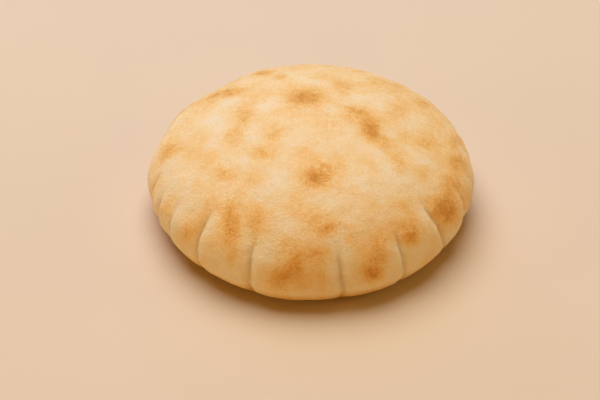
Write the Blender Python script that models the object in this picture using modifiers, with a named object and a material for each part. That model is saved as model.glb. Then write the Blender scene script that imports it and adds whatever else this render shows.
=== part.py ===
"""A puffed round flatbread, baked until its skin ballooned into a low dome.

The loaf is one closed solid: a turned dome with a rounded rim and a flat foot, whose skin is then
given the unevenness of real dough. Pleats run up from the rim, broad swellings and hollows break the
dome, and a blunt seam runs round just under the widest line, where the two skins meet.

Metres, +Z up. The origin is on the table, under the middle of the loaf. A place on the skin is given
by two angles in degrees. Its azimuth is 0 at the front (-Y) and grows towards +X. Its slope is 90 at
the crown, 0 on the widest line and -90 at the edge of the foot.
"""

import math
import random

import bpy
import numpy as np
from mathutils import Vector, noise

# Driving dimensions, in metres
RIM_RADIUS = 0.0825  # the widest line, before the unevenness
RIM_HEIGHT = 0.020  # the widest line above the table
CROWN_HEIGHT = 0.059  # the top of the dome above the table
FOOT_RADIUS = 0.0645  # the flat face that the loaf rests on

# How finely the skin is divided
COLUMNS = 176  # round the loaf, closer together beside a pleat
DOME_ROWS = 19  # crown to widest line
UNDER_ROWS = 8  # widest line to foot
LEAN_REACH = 5.0  # degrees on either side of a crease within which the columns lean with it

# Pleats of the front half, one by one: azimuth of the upper and of the lower end, slope of the upper
# end, depth of the crease, and lift of the lobe beside it (metres). A positive lift raises the lobe
# towards growing azimuth, a negative one the lobe on the other side.
FRONT_PLEATS = (
    (-77.5, -79.0, 24, 0.0012, 0.0008),
    (-67.8, -69.0, 20, 0.0013, 0.0010),
    (-57.0, -59.0, 23, 0.0012, 0.0011),
    (-42.2, -42.8, 34, 0.0022, 0.0005),
    (-32.6, -32.2, 15, 0.0004, 0.0),
    (-20.6, -21.0, 27, 0.0021, 0.0008),
    (-0.4, -0.8, 10, 0.0004, 0.0),
    (9.7, 11.2, 25, 0.0022, 0.0003),
    (31.9, 33.6, 29, 0.0020, -0.0007),
    (49.0, 54.5, 34, 0.0022, -0.0013),
    (68.2, 70.2, 23, 0.0014, -0.0011),
    (82.0, 83.0, 16, 0.0007, 0.0003),
)
BACK_PLEATS = 13  # the back half has the same kind, spaced by rule
BACK_START = 95.0  # azimuth of the first
BACK_STEP = 13.0  # degrees from one to the next
BACK_SEED = 11

CREASE_WIDTH = 0.0015  # how fast the skin rises from a crease,
LOBE_WIDTH = 0.0075  # and how far the lobe beside it stays rounded
CREASE_SHARE = 0.7  # the part of a pleat's depth that its narrow crease has
CREASE_ROUNDING = 0.0008  # blunts the bottom of the crease
LIFT_RISE = 0.0017  # how far it takes a raised lobe to rise out of its crease,
LIFT_WIDTH = 0.0100  # and how far that lobe reaches
UPPER_FADE = 14.0  # degrees of slope over which the upper end of a pleat runs out
VALLEY_RISE = 9.0  # degrees by which the shallow valley round a crease runs further up
LOWER_FADE = (25.0, 75.0)  # degrees under the widest line between which the lower end runs out

# Broad swellings and hollows: azimuth, slope, height and width (metres)
SWELLINGS = (
    (-137, 28, -0.0020, 0.017),
    (-103, 12, -0.0018, 0.008),
    (-87, 0, 0.0012, 0.010),
    (-62, -28, -0.0006, 0.018),
    (-8, -50, 0.0008, 0.020),
    (16, -50, 0.0011, 0.018),
    (48, -20, -0.0006, 0.015),
    (70, -18, -0.0016, 0.010),
    (88, 4, 0.0006, 0.010),
    (118, 14, -0.0004, 0.014),
    (146, 26, -0.0008, 0.018),
    (-30, 60, 0.0006, 0.016),
    (30, 48, 0.0006, 0.018),
    (75, 62, -0.0006, 0.014),
)

# Dough that rose unevenly: size of the features and how high they stand
UNEVENNESS = ((0.034, 0.0008), (0.013, 0.0003))

SEAM_SLOPE = -17.0
SEAM_HALF_WIDTH = 8.0  # degrees of slope
SEAM_HEIGHT = 0.0006

CRUST_COLOUR = (0.75, 0.43, 0.19, 1.0)
CRUST_ROUGHNESS = 0.75


def smooth(value, start, end):
    """0 up to start and 1 from end on, with an S between them."""
    share = min(1.0, max(0.0, (value - start) / (end - start)))
    return share * share * (3 - 2 * share)


def clear_scene():
    for obj in list(bpy.data.objects):
        bpy.data.objects.remove(obj, do_unlink=True)


def all_pleats():
    """The front pleats, and those of the back half drawn by a seeded rule."""
    draw = random.Random(BACK_SEED)
    pleats = list(FRONT_PLEATS)
    for i in range(BACK_PLEATS):
        upper_azimuth = BACK_START + BACK_STEP * i + draw.uniform(-3.2, 3.2)
        lower_azimuth = upper_azimuth + draw.uniform(-1.8, 1.8)
        upper_end = draw.uniform(12, 26)
        depth = draw.uniform(0.0008, 0.0019)
        lift = draw.uniform(-0.0011, 0.0011)
        pleats.append((upper_azimuth, lower_azimuth, upper_end, depth, lift))
    return pleats


def smooth_skin(slope, azimuth):
    """The turned skin before the unevenness: a point, and the way its relief grows."""
    ring = Vector((math.sin(math.radians(azimuth)), -math.cos(math.radians(azimuth)), 0.0))
    reach = math.cos(math.radians(slope))
    rise = math.sin(math.radians(slope))
    if slope < 0:
        radius = FOOT_RADIUS + (RIM_RADIUS - FOOT_RADIUS) * reach
        return ring * radius + Vector((0.0, 0.0, RIM_HEIGHT * (1 + rise))), ring
    height = CROWN_HEIGHT - RIM_HEIGHT
    point = ring * RIM_RADIUS * reach + Vector((0.0, 0.0, RIM_HEIGHT + height * rise))
    outward = ring * reach / RIM_RADIUS + Vector((0.0, 0.0, rise / height))
    return point, outward.normalized()


def crease_azimuth(slope, upper_azimuth, lower_azimuth, upper_end):
    """Where a crease is at a slope, on its way from its upper to its lower end."""
    run = smooth(-slope, -upper_end, LOWER_FADE[0])
    return upper_azimuth + (lower_azimuth - upper_azimuth) * run


def pleat_relief(slope, azimuth, point, pleats):
    """Creases and the raised lobes beside them."""
    total = 0.0
    lower = 1 - smooth(-slope, *LOWER_FADE)
    for upper_azimuth, lower_azimuth, upper_end, depth, lift in pleats:
        strength = lower * (1 - smooth(slope, upper_end - UPPER_FADE, upper_end))
        valley_end = upper_end + VALLEY_RISE
        valley_strength = lower * (1 - smooth(slope, valley_end - UPPER_FADE, valley_end))
        if valley_strength == 0:
            continue
        crease = crease_azimuth(slope, upper_azimuth, lower_azimuth, upper_end)
        turn = math.radians(math.remainder(azimuth - crease, 360))
        away = turn * math.hypot(point.x, point.y)
        blunt = math.hypot(away, CREASE_ROUNDING) - CREASE_ROUNDING
        narrow = CREASE_SHARE * math.exp(-blunt / CREASE_WIDTH)
        broad = (1 - CREASE_SHARE) * math.exp(-blunt / LOBE_WIDTH)
        side = math.tanh(away / LIFT_RISE) * math.exp(-abs(away) / LIFT_WIDTH)
        total += strength * (max(lift * side, 0.0) - depth * narrow)
        total -= valley_strength * depth * broad
    return total


def relief(slope, azimuth, point, pleats):
    """How far the real skin stands out from the smooth one."""
    height = pleat_relief(slope, azimuth, point, pleats)
    for swell_azimuth, swell_slope, rise, width in SWELLINGS:
        centre = smooth_skin(swell_slope, swell_azimuth)[0]
        height += rise * math.exp(-(((point - centre).length / width) ** 2))
    for size, rise in UNEVENNESS:
        height += rise * noise.noise(point / size)
    return height + SEAM_HEIGHT * math.exp(-(((slope - SEAM_SLOPE) / SEAM_HALF_WIDTH) ** 2))


def row_slopes():
    """Slopes of the rows, from the crown down to the edge of the foot."""
    dome = [90 - 90 * i / DOME_ROWS for i in range(DOME_ROWS)]
    return dome + [-90 * i / UNDER_ROWS for i in range(UNDER_ROWS + 1)]


def turned_blank(collection):
    """The loaf's profile, turned about Z."""
    outline = [smooth_skin(slope, 90)[0] for slope in row_slopes()]
    outline.append(Vector((0.0, 0.0, 0.0)))
    mesh = bpy.data.meshes.new("profile")
    mesh.from_pydata(outline, [(i, i + 1) for i in range(len(outline) - 1)], [])
    blank = bpy.data.objects.new("profile", mesh)
    collection.objects.link(blank)
    turn = blank.modifiers.new("turn", "SCREW")
    turn.steps = turn.render_steps = COLUMNS
    turn.use_merge_vertices = True
    turn.merge_threshold = 0.00001
    return blank


def mesh_of(blank, name):
    """The mesh that the object's modifiers make, as a mesh of its own."""
    bpy.context.view_layer.update()
    evaluated = blank.evaluated_get(bpy.context.evaluated_depsgraph_get())
    mesh = bpy.data.meshes.new_from_object(evaluated)
    mesh.name = name
    bpy.data.objects.remove(blank, do_unlink=True)
    return mesh


def gathered_azimuths(pleats):
    """Azimuths of the columns, drawn together round the pleats so that a crease stays sharp."""
    gathering = 1500  # per metre of a crease's depth
    narrowest = 2.2  # degrees on either side of a crease
    fine = np.linspace(0, 360, 3601)
    crowding = np.ones_like(fine)
    for upper_azimuth, lower_azimuth, _, depth, _ in pleats:
        turn = (fine - (upper_azimuth + lower_azimuth) / 2 + 180) % 360 - 180
        crowding += gathering * depth * np.exp(-((turn / narrowest) ** 2))
    gathered = np.cumsum(crowding) - crowding[0]
    return np.interp(np.arange(COLUMNS) / COLUMNS * gathered[-1], gathered, fine)


def leaning_azimuth(slope, column_azimuth, pleats):
    """Where a column is at a slope: beside a slanted crease it leans as the crease does."""
    azimuth = column_azimuth
    for upper_azimuth, lower_azimuth, upper_end, _, _ in pleats:
        middle = (upper_azimuth + lower_azimuth) / 2
        turn = math.remainder(column_azimuth - middle, 360)
        lean = crease_azimuth(slope, upper_azimuth, lower_azimuth, upper_end) - middle
        azimuth += lean * math.exp(-((turn / LEAN_REACH) ** 2))
    return azimuth


def rumple(mesh, pleats):
    """Moves each point of the turned blank, but the middle of its foot, onto the real, uneven skin."""
    azimuths = gathered_azimuths(pleats)
    slope_at = {round(smooth_skin(slope, 0)[0].z, 6): slope for slope in row_slopes()}
    for vertex in mesh.vertices:
        if vertex.co.z < RIM_HEIGHT and vertex.co.xy.length < FOOT_RADIUS / 2:
            continue
        slope = slope_at[round(vertex.co.z, 6)]
        share = math.atan2(vertex.co.x, -vertex.co.y) / math.tau
        azimuth = leaning_azimuth(slope, azimuths[round(share * COLUMNS) % COLUMNS], pleats)
        point, outward = smooth_skin(slope, azimuth)
        vertex.co = point + outward * relief(slope, azimuth, point, pleats)


def centre_on_origin(mesh):
    """Sets the middle of the loaf's box over the origin."""
    for axis in (0, 1):
        places = [vertex.co[axis] for vertex in mesh.vertices]
        middle = (min(places) + max(places)) / 2
        for vertex in mesh.vertices:
            vertex.co[axis] -= middle


def crust_material():
    material = bpy.data.materials.new("crust")
    material.use_nodes = True
    shader = material.node_tree.nodes["Principled BSDF"]
    shader.inputs["Base Color"].default_value = CRUST_COLOUR
    shader.inputs["Roughness"].default_value = CRUST_ROUGHNESS
    shader.inputs["Metallic"].default_value = 0.0
    material.diffuse_color = CRUST_COLOUR
    return material


def main():
    clear_scene()
    collection = bpy.data.collections.new("puffed_flatbread")
    bpy.context.scene.collection.children.link(collection)
    mesh = mesh_of(turned_blank(collection), "flatbread")
    rumple(mesh, all_pleats())
    centre_on_origin(mesh)
    mesh.shade_smooth()
    mesh.materials.append(crust_material())
    loaf = bpy.data.objects.new("flatbread", mesh)
    collection.objects.link(loaf)


main()
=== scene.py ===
"""The looks of a puffed round flatbread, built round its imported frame.

The crust is one closed mesh that repeats the solid's pleats, lobes and swellings from the same named
values, finely enough to add the blisters, ripples, wrinkles and small bumps of baked dough. Where the
oven browned it is stored on the mesh as soft spots, and one material turns that into colour.

Metres, +Z up. The origin is on the table, under the middle of the loaf. A place on the skin is given
by two angles in degrees. Its azimuth is 0 at the front (-Y) and grows towards +X. Its slope is 90 at
the crown, 0 on the widest line and -90 at the edge of the foot.
"""

import math
import random

import bpy
import numpy as np
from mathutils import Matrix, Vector, noise


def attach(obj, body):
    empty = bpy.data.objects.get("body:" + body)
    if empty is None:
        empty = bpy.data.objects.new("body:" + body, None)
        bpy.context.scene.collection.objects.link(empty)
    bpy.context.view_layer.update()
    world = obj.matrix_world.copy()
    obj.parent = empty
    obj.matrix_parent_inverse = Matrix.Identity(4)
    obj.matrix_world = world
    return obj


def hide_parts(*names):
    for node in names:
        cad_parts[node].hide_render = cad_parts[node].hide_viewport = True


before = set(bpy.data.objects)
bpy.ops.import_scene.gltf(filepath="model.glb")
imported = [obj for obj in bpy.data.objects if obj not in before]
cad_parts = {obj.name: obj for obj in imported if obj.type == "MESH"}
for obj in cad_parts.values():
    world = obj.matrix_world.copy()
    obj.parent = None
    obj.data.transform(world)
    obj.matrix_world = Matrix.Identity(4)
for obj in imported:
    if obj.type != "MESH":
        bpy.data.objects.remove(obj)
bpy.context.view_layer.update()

# The loaf's driving dimensions, as in the solid
RIM_RADIUS = 0.0825  # the widest line, before the unevenness
RIM_HEIGHT = 0.020  # the widest line above the table
CROWN_HEIGHT = 0.059  # the top of the dome above the table
FOOT_RADIUS = 0.0645  # the flat face that the loaf rests on

# How finely the skin is divided
COLUMNS = 512  # round the loaf, closer together beside a pleat
DOME_ROWS = 132  # crown to widest line
UNDER_ROWS = 30  # widest line to the edge of the foot
FOOT_ROWS = 16  # edge of the foot to its middle

# Pleats of the front half, one by one: azimuth of the upper and of the lower end, slope of the upper
# end, depth of the crease, and lift of the lobe beside it (metres). A positive lift raises the lobe
# towards growing azimuth, a negative one the lobe on the other side.
FRONT_PLEATS = (
    (-77.5, -79.0, 24, 0.0012, 0.0008),
    (-67.8, -69.0, 20, 0.0013, 0.0010),
    (-57.0, -59.0, 23, 0.0012, 0.0011),
    (-42.2, -42.8, 34, 0.0022, 0.0005),
    (-32.6, -32.2, 15, 0.0004, 0.0),
    (-20.6, -21.0, 27, 0.0021, 0.0008),
    (-0.4, -0.8, 10, 0.0004, 0.0),
    (9.7, 11.2, 25, 0.0022, 0.0003),
    (31.9, 33.6, 29, 0.0020, -0.0007),
    (49.0, 54.5, 34, 0.0022, -0.0013),
    (68.2, 70.2, 23, 0.0014, -0.0011),
    (82.0, 83.0, 16, 0.0007, 0.0003),
)
BACK_PLEATS = 13  # the back half has the same kind, spaced by rule
BACK_START = 95.0  # azimuth of the first
BACK_STEP = 13.0  # degrees from one to the next
BACK_STRAY = 3.2  # degrees by which one strays from its place,
BACK_SLANT = 1.8  # and by which its lower end strays from its upper one
BACK_UPPER_ENDS = (12, 26)
BACK_DEPTHS = (0.0008, 0.0019)
BACK_LIFT = 0.0011  # the most that it lifts the lobe on either side
BACK_SEED = 11

CREASE_WIDTH = 0.0015  # how fast the skin rises from a crease,
LOBE_WIDTH = 0.0075  # and how far the lobe beside it stays rounded
CREASE_SHARE = 0.7  # the part of a pleat's depth that its narrow crease has
CREASE_ROUNDING = 0.0008  # blunts the bottom of the crease
LIFT_RISE = 0.0017  # how far it takes a raised lobe to rise out of its crease,
LIFT_WIDTH = 0.0100  # and how far that lobe reaches
UPPER_FADE = 14.0  # degrees of slope over which the upper end of a pleat runs out
VALLEY_RISE = 9.0  # degrees by which the shallow valley round a crease runs further up
LOWER_FADE = (25.0, 75.0)  # degrees under the widest line between which the lower end runs out

# Broad swellings and hollows: azimuth, slope, height and width (metres)
SWELLINGS = (
    (-137, 28, -0.0020, 0.017),
    (-103, 12, -0.0018, 0.008),
    (-87, 0, 0.0012, 0.010),
    (-62, -28, -0.0006, 0.018),
    (-8, -50, 0.0008, 0.020),
    (16, -50, 0.0011, 0.018),
    (48, -20, -0.0006, 0.015),
    (70, -18, -0.0016, 0.010),
    (88, 4, 0.0006, 0.010),
    (118, 14, -0.0004, 0.014),
    (146, 26, -0.0008, 0.018),
    (-30, 60, 0.0006, 0.016),
    (30, 48, 0.0006, 0.018),
    (75, 62, -0.0006, 0.014),
)

# Dough that rose unevenly: size of the features and how high they stand
UNEVENNESS = ((0.034, 0.0008), (0.013, 0.0003))

SEAM_SLOPE = -17.0
SEAM_HALF_WIDTH = 8.0  # degrees of slope
SEAM_HEIGHT = 0.0006

# What only this finer skin has
FINE_FADE = (60.0, 88.0)  # degrees under the widest line between which bumps and blisters run out
BUMPS = ((0.0060, 0.00022), (0.0028, 0.00014))  # size and height
CREASE_SWAY = 0.0005  # how far a crease strays from its line
CREASE_SWAY_SIZE = 0.0050
RIPPLE_WIDTH = 0.0030  # ripples round the rim: from one to the next, round the loaf
RIPPLE_LENGTH = 0.016  # up the loaf
RIPPLE_HEIGHT = 0.00025
RIPPLE_SLOPES = (8.0, 48.0)  # they run out between these, above and under the widest line
WRINKLE_WIDTH = 0.0024  # wrinkles along the rim, at the sides and the back: from one to the next
WRINKLE_LENGTH = 0.013  # round the loaf
WRINKLE_HEIGHT = 0.00018
WRINKLE_AZIMUTHS = (72.0, 100.0)  # they begin between these, on either side
WRINKLE_SLOPES = (6.0, 14.0, 40.0, 62.0)  # they begin and run out between these
WRINKLE_TOAST = 0.10  # how much browner their crests are
WRINKLE_BEND = 1.6  # how far they bend, in wrinkles
WRINKLE_BEND_SIZE = 0.016
BLISTER_HEIGHT = 0.00035  # how far a brown spot puffs up
FOOT_HOLLOW = 0.0004  # how far the underside lifts off the table in places,
FOOT_HOLLOW_SIZE = 0.018  # how wide these are,
FOOT_HOLLOW_RINGS = 3  # and over how many rings from its edge inwards they grow to their depth

# Browned spots that show from the front: azimuth, slope, half length, half width (metres), turn of the
# long side (0 lies round the loaf, 90 points at the crown) and strength
BROWN_SPOTS = (
    # behind the crown
    (-164, 80, 0.0110, 0.0090, 80, 0.55),
    (-166, 80, 0.0072, 0.0042, 0, 0.66),
    (-124, 47, 0.0125, 0.0060, 112, 0.70),
    (-117, 44, 0.0075, 0.0045, 35, 0.18),
    (-153, 46, 0.0080, 0.0042, 90, 0.84),
    (-157, 59, 0.0060, 0.0035, 95, 0.25),
    (152, 66, 0.0090, 0.0050, 140, 0.40),
    (139, 51, 0.0080, 0.0050, 125, 0.32),
    (134, 39, 0.0060, 0.0030, 110, 0.30),
    (156, 43, 0.0050, 0.0025, 90, 0.35),
    (129, 42, 0.0110, 0.0070, 135, 0.26),
    (118, 37, 0.0125, 0.0055, 135, 0.52),
    (104, 37, 0.0105, 0.0050, 140, 0.14),
    # right of the crown
    (99, 73, 0.0068, 0.0060, 5, 0.56),
    (74, 77, 0.0060, 0.0045, 175, 0.18),
    (74, 68, 0.0082, 0.0053, 20, 0.98),
    (65, 61, 0.0080, 0.0045, 40, 0.34),
    (55, 52, 0.0070, 0.0048, 45, 0.32),
    (67, 83, 0.0100, 0.0070, 15, 0.22),
    (100, 59, 0.0090, 0.0055, 140, 0.30),
    (81, 45, 0.0085, 0.0055, 135, 0.32),
    (79, 55, 0.0060, 0.0045, 155, 0.20),
    (62, 41, 0.0060, 0.0040, 160, 0.32),
    # left of the crown
    (-92, 66, 0.0095, 0.0050, 0, 0.52),
    (-75, 61, 0.0055, 0.0048, 35, 0.36),
    (-48, 73, 0.0085, 0.0062, 150, 0.42),
    (-43, 64, 0.0055, 0.0050, 5, 0.52),
    (-5, 69, 0.0070, 0.0050, 0, 0.14),
    # left side
    (-85, 30, 0.0080, 0.0055, 65, 0.54),
    (-77, 13, 0.0070, 0.0045, 80, 0.25),
    (-62, 14, 0.0075, 0.0050, 35, 0.25),
    (-50, 49, 0.0065, 0.0050, 5, 0.38),
    (-68, 46, 0.0090, 0.0060, 25, 0.20),
    (-57, 37, 0.0060, 0.0035, 100, 0.14),
    (-45, 25, 0.0060, 0.0026, 90, 0.16),
    (-48, 12, 0.0065, 0.0040, 40, 0.36),
    (-43, 36, 0.0060, 0.0045, 45, 0.16),
    (-42, 30, 0.0045, 0.0045, 0, 0.32),
    (-35, 51, 0.0100, 0.0060, 90, 0.24),
    # middle and front
    (4, 58, 0.0080, 0.0068, 175, 0.50),
    (4, 58, 0.0052, 0.0050, 155, 0.85),
    (16, 63, 0.0060, 0.0045, 30, 0.12),
    (6, 33, 0.0047, 0.0038, 5, 0.66),
    (1, 40, 0.0058, 0.0045, 170, 0.24),
    (-6, 43, 0.0065, 0.0045, 5, 0.25),
    (-4, 36, 0.0060, 0.0045, 0, 0.15),
    (21, 59, 0.0070, 0.0070, 0, 0.20),
    (21, 50, 0.0070, 0.0045, 0, 0.12),
    (13, 33, 0.0060, 0.0045, 170, 0.26),
    (15, 26, 0.0030, 0.0030, 0, 0.32),
    (-32, 29, 0.0092, 0.0048, 115, 0.74),
    (-23, 34, 0.0072, 0.0055, 100, 0.54),
    (-32, 38, 0.0080, 0.0038, 25, 0.28),
    (-20, 25, 0.0055, 0.0032, 105, 0.11),
    (-10, 26, 0.0055, 0.0045, 0, 0.22),
    (-27, 7, 0.0062, 0.0030, 85, 0.26),
    (-36, -1, 0.0105, 0.0040, 65, 0.06),
    (-5, 15, 0.0056, 0.0036, 85, 0.38),
    (-9, 5, 0.0070, 0.0036, 25, 0.44),
    (-9, 20, 0.0070, 0.0045, 0, 0.18),
    (-10, -6, 0.0080, 0.0045, 0, 0.24),
    (-6, 11, 0.0126, 0.0080, 25, 0.42),
    (2, 20, 0.0056, 0.0030, 175, 0.32),
    (4, 6, 0.0093, 0.0028, 90, 0.26),
    (23, 16, 0.0115, 0.0064, 80, 0.46),
    (21, 3, 0.0054, 0.0042, 145, 0.84),
    (22, 19, 0.0050, 0.0040, 80, 0.12),
    (36, 39, 0.0060, 0.0045, 0, 0.12),
    # right side
    (39, 35, 0.0045, 0.0030, 170, 0.30),
    (36, 25, 0.0094, 0.0062, 170, 0.44),
    (37, 20, 0.0048, 0.0040, 165, 0.88),
    (57, 19, 0.0092, 0.0062, 130, 0.80),
    (56, 22, 0.0080, 0.0056, 130, 0.92),
    (68, 22, 0.0110, 0.0075, 165, 0.52),
    (69, 27, 0.0050, 0.0045, 165, 0.14),
    (82, 25, 0.0090, 0.0052, 150, 0.63),
    (95, 27, 0.0130, 0.0050, 145, 0.52),
    (70, 6, 0.0135, 0.0065, 150, 0.18),
)

SPOT_DEPTH = 0.012  # how far a spot reaches through the loaf, so that it stays on its own side
WANDER = ((0.013, 0.0018), (0.0045, 0.0008))  # size and reach of the wobble of a spot's outline
WANDER_SEED = 6

# Spots that the photo doesn't show, drawn by a seeded rule between limits. Their lengths are half
# lengths, and a share is a spot's half width over its half length.
HIDDEN_SEED = 5
BACK_SPOTS = 24
BACK_SPOT_AZIMUTHS = (104, 256)
BACK_SPOT_SLOPES = (-22, 24)
BACK_SPOT_LENGTHS = (0.003, 0.009)
BACK_SPOT_SHARES = (0.45, 0.85)
BACK_SPOT_TURNS = (40, 140)
BACK_SPOT_STRENGTHS = (0.15, 0.6)
UNDER_SPOTS = 34
UNDER_SPOT_REACH = 0.9  # how far out they lie, as a share of the rim's radius
UNDER_SPOT_LENGTHS = (0.004, 0.012)
UNDER_SPOT_SHARES = (0.5, 0.9)
UNDER_SPOT_STRENGTHS = (0.15, 0.5)

# How golden the skin is between the spots
DOME_TOAST = 0.12  # on the dome,
# Towards the foot this is partly toast and partly painted shade under the overhanging rim.
FOOT_TOAST_AND_SHADE = 1.0  # round the edge of the foot,
FOOT_TOAST_AND_SHADE_RISE = (14.0, 64.0)  # which it nears between these degrees under the widest line,
UNDERSIDE_TOAST = 0.36  # and on the flat underside,
UNDERSIDE_FADE = 0.022  # which it reaches this far inside that edge
SIDE_TOAST = 0.01  # a touch more towards the right,
BACK_TOAST = 0.19  # more at the back,
FRONT_PALLOR = 0.13  # and less in front

PALE_WIDTH = 0.0055  # how far beside a deep crease the skin stayed pale,
PALE_SHIFT = 0.0028  # how far towards the raised lobe that pale stripe lies,
PALE_LIFT = 0.0004  # the lift that shifts it most of the way,
PALE_DEPTH = 0.0020  # and the depth of a crease that keeps it palest
PALLOR = 0.30  # the share of its browning that the palest skin lacks
# Painted shade: a dark line down the middle of deep creases, for shade too narrow for the mesh to hold.
PAINTED_SHADE_WIDTH = 0.0013  # half the width of the dark line along a deep crease
PAINTED_SHADE_DEPTH = 0.0024  # the depth of a crease whose line is darkest
PAINTED_SHADE_STRENGTH = 0.13  # and how dark that is

# Noise that breaks up the looks of the crust: size of its features, detail and roughness
MOTTLE = (0.013, 4.0, 0.52)
RAGGED = (0.0040, 2.0, 0.60)
GRAIN = (0.0011, 2.0, 0.50)
SPECKS = (0.0014, 1.0, 0.50)

RAGGED_SHARE = 0.65  # the share of the browning that the ragged noise adds or takes,
GRAIN_SHARE = 0.45  # and the grain
MOTTLE_REACH = 0.38  # the browning that the mottle adds or takes everywhere,
GRAIN_REACH = 0.01  # and the grain
SPECK_LIMITS = (0.56, 0.70)  # where their noise passes these, specks begin and are darkest
SPECK_STRENGTH = 0.45  # the share of the browning that a dark speck adds
GRAIN_LIGHT = 0.09  # how much the grain lightens or darkens the colour

# Colours of the crust from unbaked to darkest: browning and linear colour
CRUST_COLOURS = (
    (0.00, (0.790, 0.595, 0.392)),
    (0.12, (0.792, 0.552, 0.300)),
    (0.25, (0.788, 0.498, 0.222)),
    (0.39, (0.768, 0.440, 0.156)),
    (0.48, (0.746, 0.400, 0.124)),
    (0.57, (0.718, 0.366, 0.099)),
    (0.67, (0.690, 0.336, 0.076)),
    (0.83, (0.645, 0.292, 0.052)),
    (1.00, (0.575, 0.234, 0.031)),
)

# The crust's surface: floury, and soft enough for light to go a little way in
CRUST_ROUGHNESS = 0.58
RAGGED_ROUGHNESS = 0.20  # how much the ragged noise adds at most
CRUST_SURFACE = {
    "Specular IOR Level": 0.25,
    "Sheen Weight": 0.20,
    "Sheen Roughness": 0.50,
    "Sheen Tint": (1.0, 0.88, 0.70, 1.0),
    "Subsurface Weight": 0.60,
    "Subsurface Radius": (1.0, 0.5, 0.25),
    "Subsurface Scale": 0.010,
}
BUMP_HEIGHT = 0.0008  # how high the finest bumps seem to stand
GRAIN_BUMP = 0.45  # the grain's share of that,
RAGGED_BUMP = 0.5  # and the ragged noise's

FLOOR_SIDE = 6.0
FLOOR_COLOUR = (0.69, 0.525, 0.395)
FLOOR_ROUGHNESS = 0.9
FLOOR_SPECULAR = 0.1

# The camera, fitted to the loaf's outline in the photo
CAMERA_PLACE = (0.0, -0.6304, 0.5175)
CAMERA_AIM = (-0.0055, 0.0046, 0.0)
CAMERA_LENS = 94.26  # millimetres
CAMERA_SENSOR = 36.0  # its width in millimetres

# Disc lights: name, azimuth and height (degrees), distance and diameter (metres), power (watts) and
# colour. The key is nearly overhead, a little behind and left. Four weak ones stand low in front and
# at the sides, and a cool one stands behind, lower than the key.
WHITE = (0.90, 0.905, 0.87)
WARM = (1.0, 0.65, 0.05)
MILD = (1.0, 0.82, 0.38)
COOL = (0.30, 0.50, 1.0)
LIGHTS = (
    ("key", 207, 75, 1.8, 1.8, 39.5, WHITE),
    ("back", 195, 34, 1.6, 1.6, 10.0, COOL),
    ("right_fill", 20, 9, 1.6, 0.45, 3.2, WARM),
    ("left_fill", 330, 9, 1.6, 0.45, 2.4, WARM),
    ("right_side", 90, 22, 1.6, 0.9, 4.2, MILD),
    ("left_side", 285, 12, 1.6, 0.5, 3.6, MILD),
)
SKY_STRENGTH = 0.12
SKY_COLOUR = (1.0, 0.60, 0.05)


def smooth(value, start, end):
    """0 up to start and 1 from end on, with an S between them."""
    share = np.clip((value - start) / (end - start), 0.0, 1.0)
    return share * share * (3 - 2 * share)


def bell(share):
    """1 at 0, running out evenly on both sides."""
    return np.exp(-(share**2))


def signed_angle(angle):
    """The same angle in degrees, from -180 to 180."""
    return (angle + 180) % 360 - 180


def noise_at(points, size):
    """Soft noise from -1 to 1 with features of a size, at each point."""
    return np.array([noise.noise(Vector(point)) for point in points / size])


def wobble_at(points, size):
    """Soft noise as a vector at each point. Without its seed it would differ from run to run."""
    noise.seed_set(WANDER_SEED)
    return np.array([noise.noise_vector(Vector(point)) for point in points / size])


def length_of(vectors):
    """The length of each vector."""
    return np.linalg.norm(vectors, axis=-1)


def all_pleats():
    """The front pleats, and those of the back half drawn by a seeded rule."""
    draw = random.Random(BACK_SEED)
    pleats = list(FRONT_PLEATS)
    for i in range(BACK_PLEATS):
        upper_azimuth = BACK_START + BACK_STEP * i + draw.uniform(-BACK_STRAY, BACK_STRAY)
        lower_azimuth = upper_azimuth + draw.uniform(-BACK_SLANT, BACK_SLANT)
        upper_end = draw.uniform(*BACK_UPPER_ENDS)
        depth = draw.uniform(*BACK_DEPTHS)
        lift = draw.uniform(-BACK_LIFT, BACK_LIFT)
        pleats.append((upper_azimuth, lower_azimuth, upper_end, depth, lift))
    return pleats


def smooth_skin(slope, azimuth):
    """The turned skin before the unevenness: points, and the way their relief grows."""
    turn = np.radians(azimuth)
    ring = np.stack((np.sin(turn), -np.cos(turn), np.zeros_like(turn)), axis=-1)
    reach = np.cos(np.radians(slope))
    rise = np.sin(np.radians(slope))
    under = slope < 0
    dome_height = CROWN_HEIGHT - RIM_HEIGHT
    radius = np.where(under, FOOT_RADIUS + (RIM_RADIUS - FOOT_RADIUS) * reach, RIM_RADIUS * reach)
    points = ring * radius[..., None]
    points[..., 2] = RIM_HEIGHT + np.where(under, RIM_HEIGHT, dome_height) * rise
    outward = ring * (reach / RIM_RADIUS)[..., None]
    outward[..., 2] = rise / dome_height
    outward /= length_of(outward)[..., None]
    outward[under] = ring[under]
    return points, outward


def one_place(slope, azimuth):
    """A point of the smooth skin and its outward direction."""
    points, outward = smooth_skin(np.array([float(slope)]), np.array([float(azimuth)]))
    return points[0], outward[0]


def crease_azimuth(slope, upper_azimuth, lower_azimuth, upper_end):
    """Where a crease is at a slope, on its way from its upper to its lower end."""
    run = smooth(-slope, -upper_end, LOWER_FADE[0])
    return upper_azimuth + (lower_azimuth - upper_azimuth) * run


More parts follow.
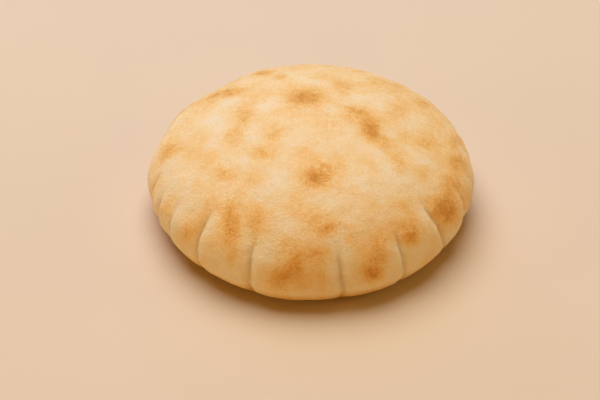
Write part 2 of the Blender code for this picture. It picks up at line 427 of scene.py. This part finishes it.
def pleat_relief(slope, azimuth, points, pleats):
    """Creases and raised lobes, how pale the skin beside them is, and the shade painted down them."""
    total = np.zeros_like(slope)
    pale = np.zeros_like(slope)
    shade = np.zeros_like(slope)
    lower = 1 - smooth(-slope, *LOWER_FADE)
    radius = length_of(points[:, :2])
    sway = CREASE_SWAY * noise_at(points, CREASE_SWAY_SIZE)
    for upper_azimuth, lower_azimuth, upper_end, depth, lift in pleats:
        strength = lower * (1 - smooth(slope, upper_end - UPPER_FADE, upper_end))
        valley_end = upper_end + VALLEY_RISE
        valley_strength = lower * (1 - smooth(slope, valley_end - UPPER_FADE, valley_end))
        crease = crease_azimuth(slope, upper_azimuth, lower_azimuth, upper_end)
        away = np.radians(signed_angle(azimuth - crease)) * radius + sway
        blunt = np.hypot(away, CREASE_ROUNDING) - CREASE_ROUNDING
        narrow = CREASE_SHARE * np.exp(-blunt / CREASE_WIDTH)
        broad = (1 - CREASE_SHARE) * np.exp(-blunt / LOBE_WIDTH)
        side = np.tanh(away / LIFT_RISE) * np.exp(-np.abs(away) / LIFT_WIDTH)
        total += strength * (np.maximum(lift * side, 0.0) - depth * narrow)
        total -= valley_strength * depth * broad
        beside = away - PALE_SHIFT * math.tanh(lift / PALE_LIFT)
        stripe = bell(beside / PALE_WIDTH) * min(1.0, depth / PALE_DEPTH) ** 2
        pale = np.maximum(pale, strength * stripe)
        # Painted shade: a dark line down the middle of a deep crease.
        line = bell(away / PAINTED_SHADE_WIDTH) * min(1.0, depth / PAINTED_SHADE_DEPTH) ** 2
        shade = np.maximum(shade, strength * line)
    return total, pale, shade


def broad_relief(slope, points):
    """Swellings, hollows, unevenness and the seam."""
    height = SEAM_HEIGHT * bell((slope - SEAM_SLOPE) / SEAM_HALF_WIDTH)
    for swell_azimuth, swell_slope, rise, width in SWELLINGS:
        centre = one_place(swell_slope, swell_azimuth)[0]
        height += rise * bell(length_of(points - centre) / width)
    for size, rise in UNEVENNESS:
        height += rise * noise_at(points, size)
    return height


def streaks_at(slope, azimuth, size_round, size_up, bend=0.0):
    """Noise from -1 to 1 whose features have one size round the loaf and another one up it."""
    round_the_loaf = np.radians(azimuth) * RIM_RADIUS / size_round
    up_the_loaf = np.radians(slope) * RIM_RADIUS / size_up + bend
    flattened = np.stack((round_the_loaf, up_the_loaf, np.zeros_like(slope)), axis=-1)
    return noise_at(flattened, 1.0)


def wrinkles_at(slope, azimuth, points):
    """Soft wrinkles along the rim, at the sides and the back, from -1 to 1."""
    bend = WRINKLE_BEND * noise_at(points, WRINKLE_BEND_SIZE)
    begin, full, fading, gone = WRINKLE_SLOPES
    band = smooth(np.abs(signed_angle(azimuth)), *WRINKLE_AZIMUTHS)
    band *= smooth(slope, begin, full)
    band *= 1 - smooth(slope, fading, gone)
    return streaks_at(slope, azimuth, WRINKLE_LENGTH, WRINKLE_WIDTH, bend) * band


def fine_relief(slope, azimuth, points, browning):
    """Small bumps, ripples round the rim and puffed brown spots."""
    height = BLISTER_HEIGHT * browning
    for size, rise in BUMPS:
        height += rise * noise_at(points, size)
    ripples = streaks_at(slope, azimuth, RIPPLE_WIDTH, RIPPLE_LENGTH)
    ripples *= 1 - smooth(np.abs(slope), *RIPPLE_SLOPES)
    return height + RIPPLE_HEIGHT * ripples


def gathered_azimuths(pleats):
    """Azimuths of the columns, drawn together round the pleats so that a crease stays sharp."""
    gathering = 1500  # per metre of a crease's depth
    narrowest = 2.2  # degrees on either side of a crease
    fine = np.linspace(0, 360, 3601)  # every tenth of a degree
    crowding = np.ones_like(fine)
    for upper_azimuth, lower_azimuth, _, depth, _ in pleats:
        turn = signed_angle(fine - (upper_azimuth + lower_azimuth) / 2)
        reach = narrowest + abs(lower_azimuth - upper_azimuth) / 2
        crowding += gathering * depth * bell(turn / reach)
    gathered = np.cumsum(crowding) - crowding[0]
    return np.interp(np.arange(COLUMNS) / COLUMNS * gathered[-1], gathered, fine)


def skin_spot(azimuth, slope, half_length, half_width, turn, strength):
    """A browned spot on the skin: its centre, its three directions with their reaches, its strength."""
    centre, outward = one_place(slope, azimuth)
    east = np.array([np.cos(np.radians(azimuth)), np.sin(np.radians(azimuth)), 0.0])
    north = np.cross(outward, east)
    along = east * np.cos(np.radians(turn)) + north * np.sin(np.radians(turn))
    across = np.cross(outward, along)
    return centre, ((along, half_length), (across, half_width), (outward, SPOT_DEPTH)), strength


def back_spot(draw):
    """A hidden spot on the back of the rim."""
    azimuth = draw.uniform(*BACK_SPOT_AZIMUTHS)
    slope = draw.uniform(*BACK_SPOT_SLOPES)
    half_length = draw.uniform(*BACK_SPOT_LENGTHS)
    half_width = half_length * draw.uniform(*BACK_SPOT_SHARES)
    turn = draw.uniform(*BACK_SPOT_TURNS)
    strength = draw.uniform(*BACK_SPOT_STRENGTHS)
    return skin_spot(azimuth, slope, half_length, half_width, turn, strength)


def under_spot(draw):
    """A hidden spot under the loaf. The root spreads such spots evenly over its round."""
    radius = RIM_RADIUS * UNDER_SPOT_REACH * draw.random() ** 0.5
    place = draw.uniform(0, 2 * np.pi)
    turn = draw.uniform(0, np.pi)
    half_length = draw.uniform(*UNDER_SPOT_LENGTHS)
    half_width = half_length * draw.uniform(*UNDER_SPOT_SHARES)
    strength = draw.uniform(*UNDER_SPOT_STRENGTHS)
    centre = np.array([radius * np.cos(place), radius * np.sin(place), 0.0])
    along = np.array([np.cos(turn), np.sin(turn), 0.0])
    across = np.array([-np.sin(turn), np.cos(turn), 0.0])
    down = np.array([0.0, 0.0, -1.0])
    return centre, ((along, half_length), (across, half_width), (down, SPOT_DEPTH)), strength


def all_spots():
    """Spots that show, and the hidden ones of the back and the underside, drawn by a seeded rule."""
    draw = random.Random(HIDDEN_SEED)
    spots = [skin_spot(*values) for values in BROWN_SPOTS]
    spots += [back_spot(draw) for _ in range(BACK_SPOTS)]
    spots += [under_spot(draw) for _ in range(UNDER_SPOTS)]
    return spots


def toast_at(points, slope):
    """How golden the skin is between the spots, from 0 to 1."""
    # Near the foot this is partly painted shade under the overhanging rim.
    toast = DOME_TOAST + (FOOT_TOAST_AND_SHADE - DOME_TOAST) * smooth(-slope, *FOOT_TOAST_AND_SHADE_RISE)
    inward = (FOOT_RADIUS - length_of(points[:, :2])) * (slope < 0)
    toast += (UNDERSIDE_TOAST - FOOT_TOAST_AND_SHADE) * smooth(inward, 0.0, UNDERSIDE_FADE)
    toast += SIDE_TOAST * points[:, 0] / RIM_RADIUS
    toast += BACK_TOAST * np.maximum(points[:, 1], 0.0) / RIM_RADIUS
    toast += FRONT_PALLOR * np.minimum(points[:, 1], 0.0) / RIM_RADIUS
    return toast


def browning_at(points, slope, pale):
    """How brown each point is, from 0 to 1."""
    wandering = points.copy()
    for size, reach in WANDER:
        wandering += reach * wobble_at(points, size)
    left_pale = 1 - toast_at(points, slope)
    for centre, reaches, strength in all_spots():
        away = wandering - centre
        squares = sum((away @ direction / reach) ** 2 for direction, reach in reaches)
        left_pale *= 1 - strength * np.exp(-squares)
    return (1 - left_pale) * (1 - PALLOR * pale)


def skin_grid(azimuths):
    """Slope and azimuth of every point from under the crown down to the edge of the foot."""
    dome = 90 - 90 * np.arange(1, DOME_ROWS + 1) / DOME_ROWS
    under = -90 * np.arange(1, UNDER_ROWS + 1) / UNDER_ROWS
    slopes = np.concatenate((dome, under))
    slope, azimuth = np.meshgrid(slopes, azimuths, indexing="ij")
    return slope.ravel(), azimuth.ravel()


def foot_points(edge):
    """Rings from the edge of the foot inwards, lifted off the table in places, and the middle point."""
    rings = []
    for i in range(1, FOOT_ROWS):
        ring = edge * (1 - i / FOOT_ROWS)
        ring[:, 2] = 0.0
        lift = np.maximum(noise_at(ring, FOOT_HOLLOW_SIZE), 0.0) * smooth(i, 0, FOOT_HOLLOW_RINGS)
        ring[:, 2] = FOOT_HOLLOW * lift
        rings.append(ring)
    middle = np.zeros((1, 3))
    return np.concatenate((*rings, middle))


def ring_faces(rings):
    """Faces of rings of points, closed by one point above the first and one below the last."""
    crown = 0
    middle = rings * COLUMNS + 1
    faces = []
    for j in range(COLUMNS):
        k = (j + 1) % COLUMNS
        faces.append((crown, 1 + k, 1 + j))
        for i in range(rings - 1):
            upper = 1 + i * COLUMNS
            lower = upper + COLUMNS
            faces.append((upper + j, upper + k, lower + k, lower + j))
        last = 1 + (rings - 1) * COLUMNS
        faces.append((last + j, last + k, middle))
    return faces


def set_point_values(mesh, name, values):
    """Stores a number on each of the mesh's points."""
    layer = mesh.attributes.new(name, "FLOAT", "POINT")
    layer.data.foreach_set("value", values.astype(np.float32))


def centre_on_origin(points):
    """Moves the points so that the middle of their box is over the origin."""
    for axis in (0, 1):
        points[:, axis] -= (points[:, axis].min() + points[:, axis].max()) / 2


def crust_mesh():
    """The whole skin as one closed mesh, with its browning and painted shade stored on its points."""
    pleats = all_pleats()
    slope, azimuth = skin_grid(gathered_azimuths(pleats))
    smooth_points, outward = smooth_skin(slope, azimuth)
    pleated, pale, shade = pleat_relief(slope, azimuth, smooth_points, pleats)
    wrinkles = wrinkles_at(slope, azimuth, smooth_points)
    browning = browning_at(smooth_points, slope, pale)
    height = pleated + broad_relief(slope, smooth_points)
    fine = fine_relief(slope, azimuth, smooth_points, browning) + WRINKLE_HEIGHT * wrinkles
    browning = np.maximum(browning + WRINKLE_TOAST * wrinkles, 0.0)
    height += fine * (1 - smooth(-slope, *FINE_FADE))
    skin = smooth_points + outward * height[:, None]

    crown = skin[:COLUMNS].mean(axis=0, keepdims=True)
    foot = foot_points(skin[-COLUMNS:])
    points = np.concatenate((crown, skin, foot))
    unmarked = np.zeros(len(foot))
    foot_browning = browning_at(foot, np.full(len(foot), -90.0), unmarked)
    centre_on_origin(points)
    mesh = bpy.data.meshes.new("flatbread_crust")
    mesh.from_pydata(points.tolist(), [], ring_faces(DOME_ROWS + UNDER_ROWS + FOOT_ROWS - 1))
    set_point_values(mesh, "browning", np.concatenate((browning[:1], browning, foot_browning)))
    # Painted shade down deep creases, none on the foot.
    set_point_values(mesh, "shade", np.concatenate((shade[:1], shade, unmarked)))
    mesh.shade_smooth()
    return mesh


def fill(tree, socket, value):
    """Gives a socket a value, or links another node's socket to it."""
    if isinstance(value, bpy.types.NodeSocket):
        tree.links.new(value, socket)
    else:
        socket.default_value = value


def add_node(tree, kind, settings=None, **inputs):
    """A node with its settings, and each input given a value or another node's socket."""
    node = tree.nodes.new(kind)
    for name, value in (settings or {}).items():
        setattr(node, name, value)
    for name, value in inputs.items():
        fill(tree, node.inputs[name.replace("_", " ")], value)
    return node


def combine(tree, operation, *values):
    """A Math node's result."""
    node = tree.nodes.new("ShaderNodeMath")
    node.operation = operation
    for socket, value in zip(node.inputs, values):
        fill(tree, socket, value)
    return node.outputs[0]


def noise_node(tree, place, size, detail, roughness):
    """Noise from 0 to 1 with features of a size in metres."""
    inputs = {"Vector": place, "Scale": 1 / size, "Detail": detail, "Roughness": roughness}
    return add_node(tree, "ShaderNodeTexNoise", **inputs).outputs[0]


def about_zero(tree, value, reach):
    """Noise from 0 to 1 turned into a value from -reach to reach."""
    return combine(tree, "MULTIPLY_ADD", value, 2 * reach, -reach)


def step_node(tree, value, start, end):
    """0 up to start and 1 from end on, with an S between them."""
    settings = {"interpolation_type": "SMOOTHSTEP"}
    inputs = {"Value": value, "From_Min": start, "From_Max": end}
    return add_node(tree, "ShaderNodeMapRange", settings, **inputs).outputs[0]


def ramp_node(tree, share, stops):
    """The colour at a share of the way through the stops."""
    node = tree.nodes.new("ShaderNodeValToRGB")
    fill(tree, node.inputs[0], share)
    elements = node.color_ramp.elements
    while len(elements) < len(stops):
        elements.new(0.5)
    for element, (position, colour) in zip(elements, stops):
        element.position = position
        element.color = (*colour, 1.0)
    return node.outputs[0]


def scale_node(tree, colour, factor):
    """A colour made lighter or darker by a factor."""
    node = tree.nodes.new("ShaderNodeVectorMath")
    node.operation = "SCALE"
    fill(tree, node.inputs[0], colour)
    fill(tree, node.inputs["Scale"], factor)
    return node.outputs[0]


def attribute_node(tree, name):
    """A number stored on the mesh's points."""
    return add_node(tree, "ShaderNodeAttribute", {"attribute_name": name}).outputs["Fac"]


def crust_colour(tree, mottle, ragged, grain, specks):
    """The browning, broken up by the noises, as a colour with painted shade down deep creases."""
    browning = attribute_node(tree, "browning")
    uneven = combine(tree, "ADD", about_zero(tree, ragged, RAGGED_SHARE), 1.0)
    uneven = combine(tree, "ADD", about_zero(tree, grain, GRAIN_SHARE), uneven)
    toasted = combine(tree, "MULTIPLY", browning, uneven)
    toasted = combine(tree, "ADD", toasted, about_zero(tree, mottle, MOTTLE_REACH))
    toasted = combine(tree, "ADD", toasted, about_zero(tree, grain, GRAIN_REACH))
    dark = combine(tree, "MULTIPLY", step_node(tree, specks, *SPECK_LIMITS), browning)
    toasted = combine(tree, "MULTIPLY_ADD", dark, SPECK_STRENGTH, toasted)
    colour = ramp_node(tree, toasted, CRUST_COLOURS)
    # Painted shade darkens the colour down deep creases; the grain lightens or darkens it at random.
    light = combine(tree, "MULTIPLY_ADD", attribute_node(tree, "shade"), -PAINTED_SHADE_STRENGTH, 1.0)
    light = combine(tree, "ADD", light, about_zero(tree, grain, -GRAIN_LIGHT))
    return scale_node(tree, colour, light)


def crust_material():
    """Baked dough: toasted where the mesh says so, floury and finely uneven."""
    material = bpy.data.materials.new("baked_crust")
    material.use_nodes = True
    tree = material.node_tree
    shader = tree.nodes["Principled BSDF"]
    place = tree.nodes.new("ShaderNodeTexCoord").outputs["Object"]
    mottle = noise_node(tree, place, *MOTTLE)
    ragged = noise_node(tree, place, *RAGGED)
    grain = noise_node(tree, place, *GRAIN)
    specks = noise_node(tree, place, *SPECKS)
    colour = crust_colour(tree, mottle, ragged, grain, specks)
    fill(tree, shader.inputs["Base Color"], colour)
    rough = combine(tree, "MULTIPLY_ADD", ragged, RAGGED_ROUGHNESS, CRUST_ROUGHNESS)
    fill(tree, shader.inputs["Roughness"], rough)
    for name, value in CRUST_SURFACE.items():
        shader.inputs[name].default_value = value
    grain_height = combine(tree, "MULTIPLY", grain, GRAIN_BUMP)
    ragged_height = combine(tree, "MULTIPLY", ragged, RAGGED_BUMP)
    height = combine(tree, "ADD", grain_height, ragged_height)
    bump = add_node(tree, "ShaderNodeBump", Strength=1.0, Distance=BUMP_HEIGHT, Height=height)
    fill(tree, shader.inputs["Normal"], bump.outputs[0])
    return material


def add_crust():
    """The loaf's one piece, in place of the solid."""
    crust = bpy.data.objects.new("flatbread_crust", crust_mesh())
    crust.data.materials.append(crust_material())
    bpy.context.scene.collection.objects.link(crust)
    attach(crust, "root")
    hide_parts("flatbread")


def add_floor():
    """The table, as a square of plain paper."""
    half = FLOOR_SIDE / 2
    corners = [(-half, -half, 0), (half, -half, 0), (half, half, 0), (-half, half, 0)]
    mesh = bpy.data.meshes.new("floor")
    mesh.from_pydata(corners, [], [(0, 1, 2, 3)])
    material = bpy.data.materials.new("floor_paper")
    material.use_nodes = True
    shader = material.node_tree.nodes["Principled BSDF"]
    shader.inputs["Base Color"].default_value = (*FLOOR_COLOUR, 1.0)
    shader.inputs["Roughness"].default_value = FLOOR_ROUGHNESS
    shader.inputs["Specular IOR Level"].default_value = FLOOR_SPECULAR
    mesh.materials.append(material)
    floor = bpy.data.objects.new("floor", mesh)
    bpy.context.scene.collection.objects.link(floor)


def aim(obj, place, target):
    """Sets a light or a camera at a place, facing a target."""
    obj.location = place
    obj.rotation_euler = (Vector(target) - Vector(place)).to_track_quat("-Z", "Y").to_euler()


def add_soft_light(name, azimuth, rise, distance, diameter, power, colour):
    """A disc light that faces the loaf."""
    light = bpy.data.lights.new(name, "AREA")
    light.shape = "DISK"
    light.size = diameter
    light.energy = power
    light.color = colour
    holder = bpy.data.objects.new(name, light)
    bpy.context.scene.collection.objects.link(holder)
    turn = math.radians(azimuth)
    flat = distance * math.cos(math.radians(rise))
    height = distance * math.sin(math.radians(rise))
    aim(holder, (flat * math.sin(turn), -flat * math.cos(turn), height), (0.0, 0.0, 0.0))


def add_lights():
    """The disc lights, and a faint warm glow from all round."""
    for values in LIGHTS:
        add_soft_light(*values)
    world = bpy.data.worlds.new("studio")
    world.use_nodes = True
    background = world.node_tree.nodes["Background"]
    background.inputs["Color"].default_value = (*SKY_COLOUR, 1.0)
    background.inputs["Strength"].default_value = SKY_STRENGTH
    bpy.context.scene.world = world


def add_camera():
    """The photo's view."""
    camera = bpy.data.cameras.new("camera")
    camera.lens = CAMERA_LENS
    camera.sensor_width = CAMERA_SENSOR
    holder = bpy.data.objects.new("camera", camera)
    bpy.context.scene.collection.objects.link(holder)
    aim(holder, CAMERA_PLACE, CAMERA_AIM)
    bpy.context.scene.camera = holder


add_crust()
add_floor()
add_lights()
add_camera()
bpy.context.scene.view_settings.view_transform = "Standard"
